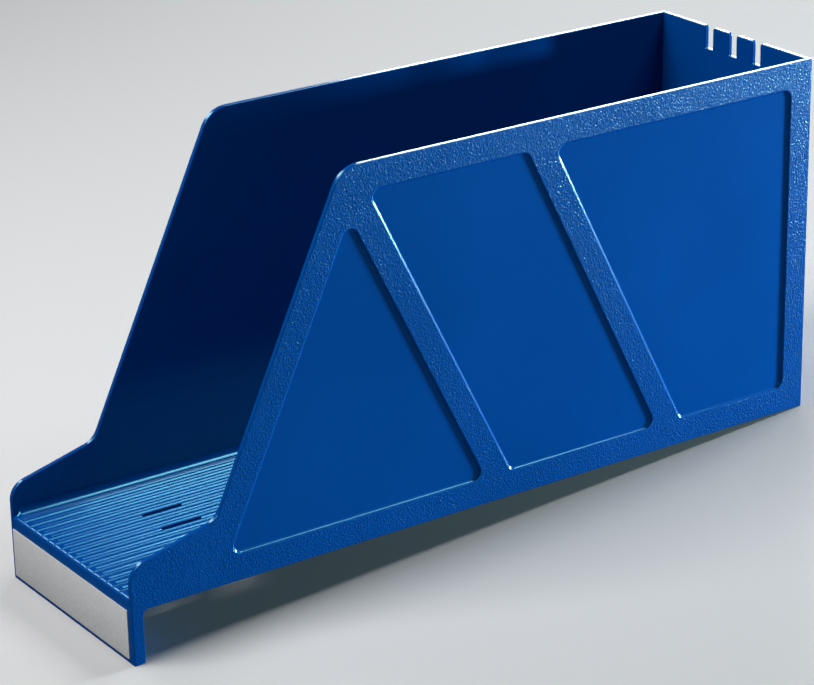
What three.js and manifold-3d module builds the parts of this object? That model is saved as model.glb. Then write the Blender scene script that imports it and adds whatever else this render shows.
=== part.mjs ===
// Magazine file holder: a one-piece moulded tray that stands on a shelf, with a label on the lip in front.
// Millimetres, +Z up. X runs across the holder, +Y runs from the label lip to the rear wall.
// Origin: centre of the bounding box in X and Y, at the level of the lip's lower edge.
import * as THREE from 'three';
import { mergeVertices } from 'three/addons/utils/BufferGeometryUtils.js';
import Module from 'manifold-3d';

// Whole holder
const width = 97;
const length = 336;
const wallHeight = 157;
const thickness = 2.2;

// Cut-away front of the side walls
const cheekHeight = 18.1;
const cheekSlope = THREE.MathUtils.degToRad(14.7);
const cheekLength = 38.9;
const frontSlope = THREE.MathUtils.degToRad(64.7);
const topRadius = 12.5;
const elbowRadius = 9;
const cheekRadius = 8.5;

// Label lip, which hangs below the base plane in front of the shelf board
const lipDrop = 22.5;
const lipDepth = 5;
const lipRootRadius = 2.3;

// Floor with its grooves
const floorTop = 5.4;
const noseRadius = 1.5;
const grooveCount = 33;
const groovePitch = 2.575;
const grooveWidth = 1.5;
const grooveDepth = 0.6;
const shallowGroove = { depth: 0.4, front: 3 };
const grooveEnd = length - thickness - 4;

// Three slots in the floor and three in the rear wall, in line, that take dividers
const slotPitch = 6 * groovePitch;
const slotCentres = [-slotPitch, 0, slotPitch];
const floorSlot = { width: 1.8, front: 42, back: 60.5 };
const rearSlot = { width: 5, depth: 10, lipRadius: 1.2 };

// Recessed fields in the outside of each side wall, between a frame and two sloping bars
const frame = 11.3;
const barSlope = Math.atan(2);
const barFeet = [177.6, 266.8];
const fieldDepth = 1;
const fieldRadius = 4;

// Label
const label = { width: 91.6, height: 20.6, thickness: 0.4, gap: 0.3, offset: -0.7 };
const labelReach = label.gap + label.thickness;

const curveSegments = 5;
const overshoot = 1;

const wasm = await Module();
wasm.setup();

function toSolid(geometry) {
  const bare = geometry.clone();
  bare.deleteAttribute('normal');
  bare.deleteAttribute('uv');
  const merged = mergeVertices(bare);
  return new wasm.Manifold(new wasm.Mesh({
    numProp: 3,
    vertProperties: new Float32Array(merged.attributes.position.array),
    triVerts: new Uint32Array(merged.index.array),
  }));
}

function toGeometry(solid) {
  const mesh = solid.getMesh();
  const geometry = new THREE.BufferGeometry();
  geometry.setAttribute('position', new THREE.BufferAttribute(mesh.vertProperties, 3));
  geometry.setIndex(new THREE.BufferAttribute(mesh.triVerts, 1));
  geometry.computeVertexNormals();
  return geometry;
}

// A box given by its lowest and highest corners.
function boxSolid(low, high) {
  const size = new THREE.Vector3().subVectors(high, low);
  const centre = new THREE.Vector3().addVectors(low, high).multiplyScalar(0.5);
  const geometry = new THREE.BoxGeometry(size.x, size.y, size.z);
  return toSolid(geometry.translate(centre.x, centre.y, centre.z));
}

// A closed outline from corners [u, v, radius], each rounded by an arc of its radius.
function roundedShape(corners) {
  const shape = new THREE.Shape();
  corners.forEach(([u, v, radius], i) => {
    const [beforeU, beforeV] = corners[(i + corners.length - 1) % corners.length];
    const [afterU, afterV] = corners[(i + 1) % corners.length];
    const arriving = new THREE.Vector2(u - beforeU, v - beforeV).normalize();
    const leaving = new THREE.Vector2(afterU - u, afterV - v).normalize();
    const turn = Math.atan2(arriving.cross(leaving), arriving.dot(leaving));
    const setback = radius * Math.tan(Math.abs(turn) / 2);
    const side = Math.sign(turn);
    const start = new THREE.Vector2(u, v).addScaledVector(arriving, -setback);
    const centre = new THREE.Vector2(-arriving.y, arriving.x).multiplyScalar(side * radius).add(start);
    const from = Math.atan2(start.y - centre.y, start.x - centre.x);
    if (i === 0) {
      shape.moveTo(start.x, start.y);
    } else {
      shape.lineTo(start.x, start.y);
    }
    if (radius > 0) {
      shape.absarc(centre.x, centre.y, radius, from, from + turn, turn < 0);
    }
  });
  shape.closePath();
  return shape;
}

// Extrudes an outline drawn in the side view (u along Y, v along Z) from x = fromX to x = toX.
function sideExtrusion(shape, fromX, toX) {
  const geometry = new THREE.ExtrudeGeometry(shape, { depth: toX - fromX, bevelEnabled: false, curveSegments });
  const turned = new THREE.Matrix4().makeBasis(
    new THREE.Vector3(0, 1, 0),
    new THREE.Vector3(0, 0, 1),
    new THREE.Vector3(1, 0, 0),
  );
  return toSolid(geometry.applyMatrix4(turned).translate(fromX, 0, 0));
}

// Extrudes an outline drawn in the front view (u along X, v along Z) from y = fromY to y = toY.
function frontExtrusion(shape, fromY, toY) {
  const geometry = new THREE.ExtrudeGeometry(shape, { depth: toY - fromY, bevelEnabled: false, curveSegments });
  return toSolid(geometry.rotateX(Math.PI / 2).translate(0, toY, 0));
}

// Side wall with the leg that closes the end of the lip, seen from the side.
function wallOutline() {
  const elbowZ = cheekHeight + cheekLength * Math.tan(cheekSlope);
  const topY = cheekLength + (wallHeight - elbowZ) / Math.tan(frontSlope);
  return roundedShape([
    [0, -lipDrop, 0],
    [lipDepth, -lipDrop, 0],
    [lipDepth, 0, lipRootRadius],
    [length, 0, 0],
    [length, wallHeight, 0],
    [topY, wallHeight, topRadius],
    [cheekLength, elbowZ, elbowRadius],
    [0, cheekHeight, cheekRadius],
  ]);
}

// The three recessed fields: a triangle behind the sloping front, then two between the bars and the rear.
function fieldOutlines() {
  const elbowZ = cheekHeight + cheekLength * Math.tan(cheekSlope);
  const low = frame;
  const high = wallHeight - frame;
  const frontEdge = (z) => cheekLength + (z - elbowZ) / Math.tan(frontSlope) + frame / Math.sin(frontSlope);
  const barEdge = (foot, side, z) => foot + (side * frame) / 2 / Math.sin(barSlope) - z / Math.tan(barSlope);
  const [frontFoot, backFoot] = barFeet;
  const apexZ = (barEdge(frontFoot, -1, 0) - frontEdge(0)) / (1 / Math.tan(frontSlope) + 1 / Math.tan(barSlope));
  const triangle = [
    [frontEdge(low), low],
    [barEdge(frontFoot, -1, low), low],
    [frontEdge(apexZ), apexZ],
  ];
  const middle = [
    [barEdge(frontFoot, 1, low), low],
    [barEdge(backFoot, -1, low), low],
    [barEdge(backFoot, -1, high), high],
    [barEdge(frontFoot, 1, high), high],
  ];
  const rear = [
    [barEdge(backFoot, 1, low), low],
    [length - frame, low],
    [length - frame, high],
    [barEdge(backFoot, 1, high), high],
  ];
  return [triangle, middle, rear].map((corners) => roundedShape(corners.map(([y, z]) => [y, z, fieldRadius])));
}

// Floor plate and the front plate of the lip, one strip bent down over a rounded nose.
function floorAndLip() {
  const strip = roundedShape([
    [0, -lipDrop, 0],
    [thickness, -lipDrop, 0],
    [thickness, floorTop - thickness, 0],
    [length, floorTop - thickness, 0],
    [length, floorTop, 0],
    [0, floorTop, noseRadius],
  ]);
  return sideExtrusion(strip, -width / 2, width / 2);
}

// Rear wall with its slots, which are open at the top and rounded at their mouths.
function rearWall() {
  const half = width / 2;
  const slotBottom = wallHeight - rearSlot.depth;
  const slots = slotCentres.toReversed().flatMap((x) => {
    const left = x - rearSlot.width / 2;
    const right = x + rearSlot.width / 2;
    return [
      [right, wallHeight, rearSlot.lipRadius],
      [right, slotBottom, 0],
      [left, slotBottom, 0],
      [left, wallHeight, rearSlot.lipRadius],
    ];
  });
  const outline = roundedShape([
    [-half, 0, 0],
    [half, 0, 0],
    [half, wallHeight, 0],
    ...slots,
    [-half, wallHeight, 0],
  ]);
  return frontExtrusion(outline, length - thickness, length);
}

// Deep grooves run the length of the floor and out over its nose. Between them are shallow ones, which start
// behind the nose.
function grooves() {
  const cuts = [];
  for (let i = 0; i < grooveCount; i += 1) {
    const fromMiddle = i - (grooveCount - 1) / 2;
    const x = fromMiddle * groovePitch;
    const isShallow = fromMiddle % 2 === 0;
    const front = isShallow ? shallowGroove.front : -overshoot;
    const depth = isShallow ? shallowGroove.depth : grooveDepth;
    cuts.push(boxSolid(
      new THREE.Vector3(x - grooveWidth / 2, front, floorTop - depth),
      new THREE.Vector3(x + grooveWidth / 2, grooveEnd, floorTop + overshoot),
    ));
  }
  return cuts;
}

function floorSlots() {
  return slotCentres.map((x) => boxSolid(
    new THREE.Vector3(x - floorSlot.width / 2, floorSlot.front, floorTop - thickness - overshoot),
    new THREE.Vector3(x + floorSlot.width / 2, floorSlot.back, floorTop + overshoot),
  ));
}

function holderBody() {
  const half = width / 2;
  const wall = wallOutline();
  const leftWall = sideExtrusion(wall, -half, -half + thickness);
  const rightWall = sideExtrusion(wall, half - thickness, half);
  let body = leftWall.add(rightWall).add(floorAndLip()).add(rearWall());
  for (const field of fieldOutlines()) {
    body = body.subtract(sideExtrusion(field, -half - overshoot, -half + fieldDepth));
    body = body.subtract(sideExtrusion(field, half - fieldDepth, half + overshoot));
  }
  for (const cut of [...grooves(), ...floorSlots()]) {
    body = body.subtract(cut);
  }
  const material = new THREE.MeshStandardMaterial({ color: 0x003f8f, roughness: 0.35, metalness: 0 });
  const mesh = new THREE.Mesh(toGeometry(body), material);
  mesh.name = 'holder_body';
  return mesh;
}

function frontLabel() {
  const geometry = new THREE.BoxGeometry(label.width, label.thickness, label.height);
  const material = new THREE.MeshStandardMaterial({ color: 0xc8cacb, roughness: 0.8, metalness: 0 });
  const mesh = new THREE.Mesh(geometry, material);
  mesh.position.set(label.offset, -label.gap - label.thickness / 2, -label.height / 2);
  mesh.name = 'front_label';
  return mesh;
}

// The pieces are drawn from the lip's front face and the base plane, then moved to the origin.
const holder = new THREE.Group();
holder.add(holderBody(), frontLabel());
holder.position.set(0, -(length - labelReach) / 2, lipDrop);

const group = new THREE.Group();
group.add(holder);

export default group;
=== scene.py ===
"""Magazine file holder: a deep blue moulded tray with a grooved floor, recessed fields and a label lip.

Everything is in metres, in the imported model's frame. The holder's own shape is worked out in "tray"
coordinates: X across, Y back from the front face of the lip, Z up from the base plane, which stands on
a shelf.
"""
import math

import bmesh
import bpy
from mathutils import Matrix, Quaternion, Vector


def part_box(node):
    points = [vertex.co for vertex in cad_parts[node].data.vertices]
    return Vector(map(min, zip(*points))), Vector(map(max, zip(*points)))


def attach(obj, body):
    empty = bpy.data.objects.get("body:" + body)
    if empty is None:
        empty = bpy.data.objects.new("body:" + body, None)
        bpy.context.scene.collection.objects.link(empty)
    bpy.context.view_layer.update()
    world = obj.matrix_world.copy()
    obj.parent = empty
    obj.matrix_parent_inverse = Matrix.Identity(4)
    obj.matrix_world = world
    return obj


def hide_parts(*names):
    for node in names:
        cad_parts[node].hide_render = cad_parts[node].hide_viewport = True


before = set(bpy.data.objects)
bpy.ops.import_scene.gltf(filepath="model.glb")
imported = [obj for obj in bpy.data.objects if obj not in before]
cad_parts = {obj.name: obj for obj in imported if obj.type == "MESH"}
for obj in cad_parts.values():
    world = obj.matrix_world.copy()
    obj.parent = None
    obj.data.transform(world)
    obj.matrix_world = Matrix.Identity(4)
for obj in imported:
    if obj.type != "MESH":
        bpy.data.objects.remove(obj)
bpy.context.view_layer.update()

MM = 0.001

# ---------------------------------------------------------------- sizes
body_low, body_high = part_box("holder_body")
label_low, label_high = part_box("front_label")

# The whole holder. The lip hangs below the base plane by its drop.
LIP_DROP = 22.5 * MM
HALF_WIDTH = (body_high.x - body_low.x) / 2
LENGTH = body_high.y - body_low.y
WALL_HEIGHT = body_high.z - body_low.z - LIP_DROP
THICKNESS = 2.2 * MM

# Cut-away front of the side walls, and the leg that closes each end of the lip
CHEEK_HEIGHT = 18.1 * MM
CHEEK_SLOPE = math.radians(14.7)
CHEEK_LENGTH = 38.9 * MM
FRONT_SLOPE = math.radians(64.7)
TOP_RADIUS = 12.5 * MM
ELBOW_RADIUS = 9 * MM
CHEEK_RADIUS = 8.5 * MM
LIP_DEPTH = 5 * MM
LIP_ROOT_RADIUS = 2.3 * MM

# Floor, its rounded nose in front, and its grooves, deep and shallow by turns
FLOOR_TOP = 5.4 * MM
NOSE_RADIUS = 1.5 * MM
GROOVE_COUNT = 33
GROOVE_PITCH = 2.575 * MM
GROOVE_WIDTH = 1.5 * MM
GROOVE_DEPTH = 0.6 * MM
SHALLOW_DEPTH = 0.4 * MM
SHALLOW_FRONT = 3 * MM
GROOVE_END = LENGTH - THICKNESS - 4 * MM
SIDE_FILLET = 3.6 * MM
REAR_FILLET = 0.6 * MM

# Slots in the floor and in the rear wall, in line
SLOT_CENTRES = [-6 * GROOVE_PITCH, 0, 6 * GROOVE_PITCH]
FLOOR_SLOT_WIDTH = 1.8 * MM
FLOOR_SLOT_FRONT = 42 * MM
FLOOR_SLOT_BACK = 60.5 * MM
REAR_SLOT_WIDTH = 5 * MM
REAR_SLOT_DEPTH = 10 * MM
SLOT_LIP_RADIUS = 1.2 * MM

# Recessed fields in the outside of each side wall, between a frame and two sloping bars
FRAME_WIDTH = 11.3 * MM
BAR_SLOPE = math.atan(2)
BAR_FEET = [177.6 * MM, 266.8 * MM]
FIELD_DEPTH = 1 * MM
FIELD_RADIUS = 4 * MM
FIELD_DRAFT = math.radians(32)

# The moulding's edges: they are rounded, or shaded sharp, where faces turn by more than these angles
EDGE_RADIUS = 0.45 * MM
EDGE_SEGMENTS = 4
ROUNDED_ABOVE = math.radians(35)
SHARP_ABOVE = math.radians(40)

# Label: its faces lie this far behind the back face of the CAD label, which keeps clear of the lip
LABEL_FRONT = -0.1 * MM
LABEL_BACK = 0.28 * MM
LABEL_CORNER_RADIUS = 0.4 * MM
LABEL_EDGE_RADIUS = 0.06 * MM
LABEL_SHARP_ABOVE = math.radians(50)

# Mesh: an arc turns by about this much per point, and a cutter stands this far out of what it cuts
ARC_STEP = math.radians(6)
BEYOND = 2 * MM

# Steps of the floor's grid: over a groove's pitch, over a wide rounding, and over a small one or a ramp
GROOVE_STEPS = 16
WIDE_STEPS = 14
SMALL_STEPS = 6

# Points closer than the first are one point, and faces that turn by less than the second are one face
WELD_DISTANCE = 0.001 * MM
FLAT_BELOW = math.radians(0.5)

# A face is an outer one where it lies this close to the outside and points this straight out
SKIN = 0.02 * MM
STRAIGHT_OUT = 0.9

TRAY_ORIGIN = Vector((0, body_low.y, body_low.z + LIP_DROP))


# ---------------------------------------------------------------- camera
def make_camera():
    """It looks down on the open front and the right side wall."""
    azimuth, elevation, roll = math.radians(55.55), math.radians(21.6), math.radians(1.06)
    distance = 1.2334
    aim = Vector((0.0006, -0.0066, 0.0790))
    back = Vector((
        math.sin(azimuth) * math.cos(elevation),
        -math.cos(azimuth) * math.cos(elevation),
        math.sin(elevation),
    ))
    data = bpy.data.cameras.new("camera")
    data.lens = 132.7
    data.sensor_width = 36
    data.clip_start, data.clip_end = 0.05, 50
    camera = bpy.data.objects.new("camera", data)
    bpy.context.collection.objects.link(camera)
    camera.location = aim + back * distance
    camera.rotation_mode = "QUATERNION"
    camera.rotation_quaternion = (-back).to_track_quat("-Z", "Y") @ Quaternion((0, 0, 1), -roll)
    bpy.context.scene.camera = camera


# ---------------------------------------------------------------- mesh helpers
def rounded_outline(corners):
    """Points of a closed outline from corners (u, v, radius), each rounded by an arc of its radius."""
    points = []
    for i, (u, v, radius) in enumerate(corners):
        corner = Vector((u, v))
        before = Vector(corners[i - 1][:2])
        after = Vector(corners[(i + 1) % len(corners)][:2])
        arriving = (corner - before).normalized()
        leaving = (after - corner).normalized()
        turn = math.atan2(arriving.x * leaving.y - arriving.y * leaving.x, arriving.dot(leaving))
        if radius == 0:
            points.append(corner)
            continue
        start = corner - arriving * radius * math.tan(abs(turn) / 2)
        side = math.copysign(1, turn)
        centre = start + Vector((-arriving.y, arriving.x)) * side * radius
        spoke = start - centre
        steps = max(2, round(abs(turn) / ARC_STEP))
        for step in range(steps + 1):
            points.append(centre + Matrix.Rotation(turn * step / steps, 2) @ spoke)
    return points


def new_object(name, mesh):
    """Puts a mesh into the scene as an object."""
    made = bpy.data.objects.new(name, mesh)
    bpy.context.collection.objects.link(made)
    return made


def mesh_object(name, vertices, faces):
    mesh = bpy.data.meshes.new(name)
    mesh.from_pydata([tuple(v) for v in vertices], [], faces)
    mesh.validate()
    return new_object(name, mesh)


def prism(name, outline, low, high, place, end_outline=None):
    """A closed outline swept from low to high, where it may end as another outline with as many points.

    place turns (u, v, sweep) into a point.
    """
    count = len(outline)
    vertices = [place(u, v, low) for u, v in outline]
    vertices += [place(u, v, high) for u, v in end_outline or outline]
    faces = [tuple(reversed(range(count))), tuple(range(count, 2 * count))]
    faces += [(i, (i + 1) % count, (i + 1) % count + count, i + count) for i in range(count)]
    made = mesh_object(name, vertices, faces)
    edit(made, lambda bm: bmesh.ops.recalc_face_normals(bm, faces=bm.faces))
    return made


def side_prism(name, outline, low, high, end_outline=None):
    """An outline drawn in the side view, swept along X."""
    return prism(name, outline, low, high, lambda u, v, sweep: (sweep, u, v), end_outline)


def front_prism(name, outline, low, high):
    """An outline drawn in the front view, swept along Y."""
    return prism(name, outline, low, high, lambda u, v, sweep: (u, sweep, v))


def block(name, low, high):
    """A box between two corners."""
    outline = [(low[0], low[1]), (high[0], low[1]), (high[0], high[1]), (low[0], high[1])]
    return prism(name, outline, low[2], high[2], lambda u, v, sweep: (u, v, sweep))


def edit(made, change):
    """Runs a change on the object's mesh in edit form."""
    bm = bmesh.new()
    bm.from_mesh(made.data)
    change(bm)
    bm.to_mesh(made.data)
    bm.free()


def apply_modifiers(made):
    """Keeps the mesh that the modifiers give, and drops the modifiers."""
    depsgraph = bpy.context.evaluated_depsgraph_get()
    mesh = bpy.data.meshes.new_from_object(made.evaluated_get(depsgraph))
    made.modifiers.clear()
    made.data = mesh


def combine(made, tools, operation):
    """Joins the tools to made, or cuts them out of it."""
    for tool in tools:
        modifier = made.modifiers.new("combine", "BOOLEAN")
        modifier.object = tool
        modifier.operation = operation
        modifier.solver = "MANIFOLD"
    apply_modifiers(made)
    for tool in tools:
        bpy.data.objects.remove(tool)


# ---------------------------------------------------------------- the moulding
def wall_outline():
    """Side wall with the leg that closes the end of the lip, seen from the side."""
    elbow_z = CHEEK_HEIGHT + CHEEK_LENGTH * math.tan(CHEEK_SLOPE)
    top_y = CHEEK_LENGTH + (WALL_HEIGHT - elbow_z) / math.tan(FRONT_SLOPE)
    return rounded_outline([
        (0, -LIP_DROP, 0),
        (LIP_DEPTH, -LIP_DROP, 0),
        (LIP_DEPTH, 0, LIP_ROOT_RADIUS),
        (LENGTH, 0, 0),
        (LENGTH, WALL_HEIGHT, 0),
        (top_y, WALL_HEIGHT, TOP_RADIUS),
        (CHEEK_LENGTH, elbow_z, ELBOW_RADIUS),
        (0, CHEEK_HEIGHT, CHEEK_RADIUS),
    ])


def field_outlines(inset):
    """The triangle behind the sloping front, then the two fields between the bars and the rear.

    Every edge lies this far inside the edge that the field has at the wall's outer face.
    """
    elbow_z = CHEEK_HEIGHT + CHEEK_LENGTH * math.tan(CHEEK_SLOPE)
    border = FRAME_WIDTH + inset
    low, high = border, WALL_HEIGHT - border

    def front_edge(z):
        return CHEEK_LENGTH + (z - elbow_z) / math.tan(FRONT_SLOPE) + border / math.sin(FRONT_SLOPE)

    def bar_edge(foot, side, z):
        return foot + side * (FRAME_WIDTH / 2 + inset) / math.sin(BAR_SLOPE) - z / math.tan(BAR_SLOPE)

    front_foot, back_foot = BAR_FEET
    spread = bar_edge(front_foot, -1, 0) - front_edge(0)
    apex_z = spread / (1 / math.tan(FRONT_SLOPE) + 1 / math.tan(BAR_SLOPE))
    triangle = [
        (front_edge(low), low),
        (bar_edge(front_foot, -1, low), low),
        (front_edge(apex_z), apex_z),
    ]
    middle = [
        (bar_edge(front_foot, 1, low), low),
        (bar_edge(back_foot, -1, low), low),
        (bar_edge(back_foot, -1, high), high),
        (bar_edge(front_foot, 1, high), high),
    ]
    rear = [
        (bar_edge(back_foot, 1, low), low),
        (LENGTH - border, low),
        (LENGTH - border, high),
        (bar_edge(back_foot, 1, high), high),
    ]
    radius = FIELD_RADIUS - inset
    return [rounded_outline([(y, z, radius) for y, z in corners]) for corners in (triangle, middle, rear)]


def field_cuts():
    """Cutters for the fields of both side walls, which narrow inwards by the draft angle."""
    cuts = []
    sunk = field_outlines(FIELD_DEPTH * math.tan(FIELD_DRAFT))
    mouths = field_outlines(-BEYOND * math.tan(FIELD_DRAFT))
    for inner, outer in zip(sunk, mouths):
        cuts.append(side_prism("field", outer, -HALF_WIDTH - BEYOND, -HALF_WIDTH + FIELD_DEPTH, inner))
        cuts.append(side_prism("field", inner, HALF_WIDTH - FIELD_DEPTH, HALF_WIDTH + BEYOND, outer))
    return cuts


def make_rear_wall():
    """The rear wall, with slots that are open at the top and rounded at their mouths."""
    slot_bottom = WALL_HEIGHT - REAR_SLOT_DEPTH
    corners = [(-HALF_WIDTH, 0, 0), (HALF_WIDTH, 0, 0), (HALF_WIDTH, WALL_HEIGHT, 0)]
    for x in reversed(SLOT_CENTRES):
        left, right = x - REAR_SLOT_WIDTH / 2, x + REAR_SLOT_WIDTH / 2
        corners += [(right, WALL_HEIGHT, SLOT_LIP_RADIUS), (right, slot_bottom, 0)]
        corners += [(left, slot_bottom, 0), (left, WALL_HEIGHT, SLOT_LIP_RADIUS)]
    corners.append((-HALF_WIDTH, WALL_HEIGHT, 0))
    return front_prism("rear_wall", rounded_outline(corners), LENGTH - THICKNESS, LENGTH)


def make_shell():
    """Side walls, rear wall and lip plate with their cut-outs, every sharp edge rounded."""
    outline = wall_outline()
    shell = side_prism("shell", outline, -HALF_WIDTH, -HALF_WIDTH + THICKNESS)
    joined = [
        side_prism("right_wall", outline, HALF_WIDTH - THICKNESS, HALF_WIDTH),
        make_rear_wall(),
        block(
            "lip_plate",
            (-HALF_WIDTH, 0, -LIP_DROP),
            (HALF_WIDTH, THICKNESS, FLOOR_TOP - NOSE_RADIUS),
        ),
    ]
    combine(shell, joined, "UNION")
    combine(shell, field_cuts(), "DIFFERENCE")

    def merge_flats(bm):
        bmesh.ops.remove_doubles(bm, verts=bm.verts, dist=WELD_DISTANCE)
        bmesh.ops.dissolve_limit(bm, angle_limit=FLAT_BELOW, verts=bm.verts, edges=bm.edges)

    edit(shell, merge_flats)
    bevel = shell.modifiers.new("rounding", "BEVEL")
    bevel.width = EDGE_RADIUS
    bevel.segments = EDGE_SEGMENTS
    bevel.limit_method = "ANGLE"
    bevel.angle_limit = ROUNDED_ABOVE
    bevel.use_clamp_overlap = False
    apply_modifiers(shell)
    return shell


def smooth_step(t):
    """Rises from 0 at t = 0 to 1 at t = 1 without a kink."""
    t = min(max(t, 0), 1)
    return t * t * (3 - 2 * t)


def groove_drop(x, y):
    """How far the floor lies below its lands at (x, y).

    Deep grooves run out over the nose, and the shallow ones between them start behind it.
    """
    outermost = (GROOVE_COUNT - 1) // 2
    nearest = min(max(round(x / GROOVE_PITCH), -outermost), outermost)
    across = 1 - abs(x - nearest * GROOVE_PITCH) / (GROOVE_WIDTH / 2)
    is_shallow = nearest % 2 == 0
    depth = SHALLOW_DEPTH if is_shallow else GROOVE_DEPTH
    run_in = (y - SHALLOW_FRONT) / (GROOVE_WIDTH / 2) if is_shallow else 1
    run_out = (GROOVE_END - y) / (GROOVE_WIDTH / 2)
    return depth * max(across, 0) * smooth_step(run_in) * smooth_step(run_out)


def fillet_rise(radius, distance):
    """Height of the fillet of this radius at this distance from the wall that it meets."""
    gap = min(max(radius - distance, 0), radius)
    return radius - math.sqrt(radius ** 2 - gap ** 2)


def floor_height(x, y):
    """Height of the floor's top at (x, y), with its nose, its grooves and its fillets."""
    side_gap = HALF_WIDTH - THICKNESS - abs(x)
    rear_gap = LENGTH - THICKNESS - y
    land = FLOOR_TOP + max(fillet_rise(SIDE_FILLET, side_gap), fillet_rise(REAR_FILLET, rear_gap))
    top = land - groove_drop(x, y)
    if y < NOSE_RADIUS:
        nose = FLOOR_TOP - NOSE_RADIUS + math.sqrt(NOSE_RADIUS ** 2 - (NOSE_RADIUS - y) ** 2)
        top = min(top, nose)
    return top


def spaced(low, high, count):
    """Evenly spaced numbers from low to high, both among them."""
    return [low + (high - low) * i / count for i in range(count + 1)]


def make_floor():
    """The floor plate as a closed grid: its grooves, nose and fillets are in the heights of its top."""
    inner = HALF_WIDTH - THICKNESS
    sunk = THICKNESS / 2
    grooved = GROOVE_COUNT * GROOVE_PITCH / 2
    rear = LENGTH - THICKNESS
    wide_turn = spaced(0, math.pi / 2, WIDE_STEPS)
    small_turn = spaced(0, math.pi / 2, SMALL_STEPS)
    xs = spaced(-grooved, grooved, GROOVE_COUNT * GROOVE_STEPS)
    edge = [inner - SIDE_FILLET * (1 - math.cos(a)) for a in wide_turn]
    right = sorted(edge) + [inner + sunk]
    xs = sorted([-x for x in right] + xs + right)
    ys = [NOSE_RADIUS * (1 - math.cos(a)) for a in wide_turn]
    ys += spaced(SHALLOW_FRONT, SHALLOW_FRONT + GROOVE_WIDTH / 2, SMALL_STEPS)
    ys += spaced(GROOVE_END - GROOVE_WIDTH / 2, GROOVE_END, SMALL_STEPS)
    ys += sorted(rear - REAR_FILLET * (1 - math.cos(a)) for a in small_turn)
    ys += [rear + sunk]
    columns, rows = len(xs), len(ys)
    bottom = FLOOR_TOP - THICKNESS
    vertices = [(x, y, floor_height(x, y)) for y in ys for x in xs]
    vertices += [(x, y, bottom) for y in ys for x in xs]
    below = columns * rows
    faces = []
    for j in range(rows - 1):
        for i in range(columns - 1):
            a = j * columns + i
            quad = (a, a + 1, a + 1 + columns, a + columns)
            faces.append(quad)
            faces.append(tuple(v + below for v in reversed(quad)))
    rim = list(range(columns))
    rim += [j * columns + columns - 1 for j in range(1, rows)]
    rim += [(rows - 1) * columns + i for i in range(columns - 2, -1, -1)]
    rim += [j * columns for j in range(rows - 2, 0, -1)]
    for a, b in zip(rim, rim[1:] + rim[:1]):
        faces.append((a + below, b + below, b, a))
    floor = mesh_object("floor_plate", vertices, faces)
    edit(floor, lambda bm: bmesh.ops.recalc_face_normals(bm, faces=bm.faces))
    slots = []
    for x in SLOT_CENTRES:
        low = (x - FLOOR_SLOT_WIDTH / 2, FLOOR_SLOT_FRONT, bottom - BEYOND)
        high = (x + FLOOR_SLOT_WIDTH / 2, FLOOR_SLOT_BACK, FLOOR_TOP + BEYOND)
        slots.append(block("floor_slot", low, high))
    combine(floor, slots, "DIFFERENCE")
    return floor


def make_moulding():
    """The holder's one moulded piece, with a grain on its outer faces and a gloss everywhere else."""
    moulding = make_shell()
    combine(moulding, [make_floor()], "UNION")
    moulding.name = "moulding"
    moulding.data.name = "moulding"
    moulding.data.transform(Matrix.Translation(TRAY_ORIGIN))
    moulding.data.materials.clear()
    moulding.data.materials.append(smooth_plastic())
    moulding.data.materials.append(grained_plastic())
    side = HALF_WIDTH - SKIN
    back = body_high.y - SKIN
    for face in moulding.data.polygons:
        on_side = abs(face.center.x) > side and abs(face.normal.x) > STRAIGHT_OUT
        on_back = face.center.y > back and face.normal.y > STRAIGHT_OUT
        face.material_index = 1 if on_side or on_back else 0
    moulding.data.shade_smooth()
    moulding.data.set_sharp_from_angle(angle=SHARP_ABOVE)
    weighted = moulding.modifiers.new("normals", "WEIGHTED_NORMAL")
    weighted.keep_sharp = True
    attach(moulding, "root")
    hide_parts("holder_body")


# ---------------------------------------------------------------- the label
def make_label():
    """A blank card on the front of the lip."""
    outline = rounded_outline([
        (label_low.x, label_low.z, LABEL_CORNER_RADIUS),
        (label_high.x, label_low.z, LABEL_CORNER_RADIUS),
        (label_high.x, label_high.z, LABEL_CORNER_RADIUS),
        (label_low.x, label_high.z, LABEL_CORNER_RADIUS),
    ])
    label = front_prism("label", outline, label_high.y + LABEL_FRONT, label_high.y + LABEL_BACK)
    bevel = label.modifiers.new("rounding", "BEVEL")
    bevel.width = LABEL_EDGE_RADIUS
    bevel.segments = 2
    bevel.limit_method = "ANGLE"
    apply_modifiers(label)
    label.data.materials.append(paper())
    label.data.shade_smooth()
    label.data.set_sharp_from_angle(angle=LABEL_SHARP_ABOVE)
    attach(label, "root")
    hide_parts("front_label")


# ---------------------------------------------------------------- materials
def new_material(name):
    material = bpy.data.materials.new(name)
    material.use_nodes = True
    return material, material.node_tree.nodes["Principled BSDF"]


def add_noise(material, scale, detail):
    """A noise texture that lies on the object. Returns its output from 0 to 1."""
    nodes, links = material.node_tree.nodes, material.node_tree.links
    coordinates = nodes.new("ShaderNodeTexCoord")
    noise = nodes.new("ShaderNodeTexNoise")
    noise.inputs["Scale"].default_value = scale
    noise.inputs["Detail"].default_value = detail
    links.new(coordinates.outputs["Object"], noise.inputs["Vector"])
    return noise.outputs["Fac"]


def add_colours(material, shader, amount, positions, colours):
    """Gives the shader a colour between two, by the amount."""
    nodes, links = material.node_tree.nodes, material.node_tree.links
    ramp = nodes.new("ShaderNodeValToRGB")
    for element, position, colour in zip(ramp.color_ramp.elements, positions, colours):
        element.position = position
        element.color = (*colour, 1)
    links.new(amount, ramp.inputs["Fac"])
    links.new(ramp.outputs["Color"], shader.inputs["Base Color"])


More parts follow.
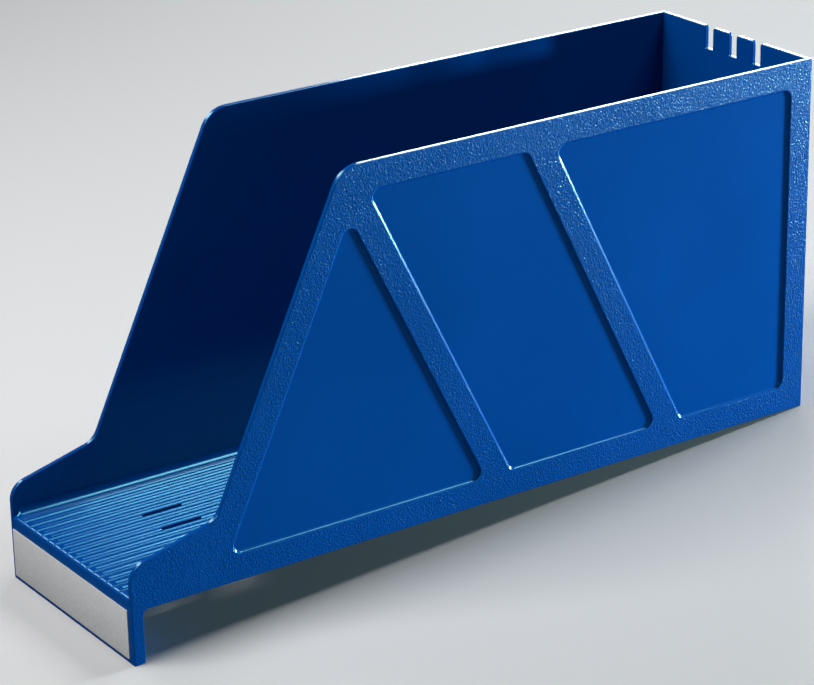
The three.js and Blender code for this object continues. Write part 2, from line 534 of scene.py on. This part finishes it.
def add_bump(material, shader, height, strength, distance):
    nodes, links = material.node_tree.nodes, material.node_tree.links
    bump = nodes.new("ShaderNodeBump")
    bump.inputs["Strength"].default_value = strength
    bump.inputs["Distance"].default_value = distance
    links.new(height, bump.inputs["Height"])
    links.new(bump.outputs["Normal"], shader.inputs["Normal"])


def plastic(name, level, tint, roughness, scale, relief):
    """Deep blue polystyrene. Its reflections have this level and tint, and its relief has this scale."""
    material, shader = new_material(name)
    nodes, links = material.node_tree.nodes, material.node_tree.links
    cloud = add_noise(material, scale=14, detail=4)
    add_colours(material, shader, cloud, (0.3, 0.7), ((0.0, 0.038, 0.185), (0.0, 0.044, 0.215)))
    shader.inputs["IOR"].default_value = 1.55
    shader.inputs["Metallic"].default_value = 0
    shader.inputs["Specular IOR Level"].default_value = level
    shader.inputs["Specular Tint"].default_value = (*tint, 1)
    rough = nodes.new("ShaderNodeMapRange")
    rough.inputs["To Min"].default_value, rough.inputs["To Max"].default_value = roughness
    links.new(cloud, rough.inputs["Value"])
    links.new(rough.outputs["Result"], shader.inputs["Roughness"])
    fine = add_noise(material, scale, detail=3)
    add_bump(material, shader, fine, strength=relief, distance=0.4 * MM)
    return material


def smooth_plastic():
    """The glossy finish of the inside, the fields and the edges."""
    return plastic("smooth_plastic", 0.45, (0.12, 0.8, 1.0), roughness=(0.16, 0.2), scale=260, relief=0.05)


def grained_plastic():
    """The spark-eroded grain of the outer faces."""
    return plastic("grained_plastic", 0.2, (0.0, 0.75, 1.0), roughness=(0.24, 0.3), scale=1200, relief=0.9)


def paper():
    """Pale grey card with a fine, slightly uneven surface."""
    material, shader = new_material("label_paper")
    fibre = add_noise(material, scale=900, detail=5)
    add_colours(material, shader, fibre, (0, 1), ((0.30, 0.31, 0.32), (0.455, 0.455, 0.455)))
    shader.inputs["Roughness"].default_value = 0.75
    add_bump(material, shader, fibre, strength=0.2, distance=0.1 * MM)
    return material


# ---------------------------------------------------------------- stage and light
def make_stage():
    """The holder rests on its lip and its rear edge, so the floor leans to touch both."""
    lean = math.atan2(LIP_DROP, LENGTH)
    half = 12
    corners = [(-half, -half, 0), (half, -half, 0), (half, half, 0), (-half, half, 0)]
    floor = mesh_object("stage_floor", corners, [(0, 1, 2, 3)])
    lip_foot = Vector((0, body_low.y, body_low.z))
    floor.data.transform(Matrix.Translation(lip_foot) @ Matrix.Rotation(lean, 4, "X"))
    material, shader = new_material("stage_floor")
    shader.inputs["Base Color"].default_value = (0.37, 0.37, 0.375, 1)
    shader.inputs["Roughness"].default_value = 0.9
    floor.data.materials.append(material)
    floor.visible_glossy = False


def area_light(name, location, aim, size, power, colour=(1, 1, 1)):
    """A rectangular light, size metres wide and high, that faces its aim."""
    data = bpy.data.lights.new(name, "AREA")
    data.color = colour
    data.shape = "RECTANGLE"
    data.size, data.size_y = size
    data.energy = power
    light = bpy.data.objects.new(name, data)
    bpy.context.collection.objects.link(light)
    light.location = location
    light.rotation_mode = "QUATERNION"
    light.rotation_quaternion = (Vector(aim) - Vector(location)).to_track_quat("-Z", "Y")
    light.visible_camera = False


def around(centre, azimuth, elevation, distance):
    """A point this far from the centre. Its azimuth is in degrees from the front, towards the right."""
    azimuth, elevation = math.radians(azimuth), math.radians(elevation)
    across = distance * math.cos(elevation)
    rise = distance * math.sin(elevation)
    return centre + Vector((across * math.sin(azimuth), -across * math.cos(azimuth), rise))


def make_light():
    """Low lights for the outer side, which the side wall keeps out of the tray, and high ones inside."""
    world = bpy.data.worlds.new("studio")
    world.use_nodes = True
    background = world.node_tree.nodes["Background"]
    background.inputs["Color"].default_value = (0.9, 0.94, 1.0, 1)
    background.inputs["Strength"].default_value = 0.01
    bpy.context.scene.world = world
    centre = Vector((0, 0, 0.08))
    cool = (0.6, 0.93, 1.0)
    key, side, rim = (0.37, 1.20, 0.10), (0.60, 0.12, 0.10), (-0.91, 0.85, 0.55)
    front = around(centre, azimuth=345, elevation=50, distance=1.0)
    rear = around(centre, azimuth=173, elevation=60, distance=1.0)
    left = around(centre, azimuth=288, elevation=36, distance=1.1)
    area_light("low_key", key, aim=(0.04, 0.1, 0.09), size=(0.2, 0.15), power=105, colour=cool)
    area_light("low_side", side, aim=(0, 0.05, 0.1), size=(0.5, 0.13), power=0.6, colour=cool)
    area_light("front", front, aim=centre, size=(0.5, 0.5), power=13)
    area_light("rear", rear, aim=centre, size=(0.34, 0.42), power=8.5)
    area_light("rim", rim, aim=(0.05, 0.06, 0.17), size=(0.45, 0.18), power=6)
    area_light("left", left, aim=centre, size=(0.3, 0.3), power=3)


make_camera()
make_moulding()
make_label()
make_stage()
make_light()
bpy.context.scene.view_settings.view_transform = "Standard"
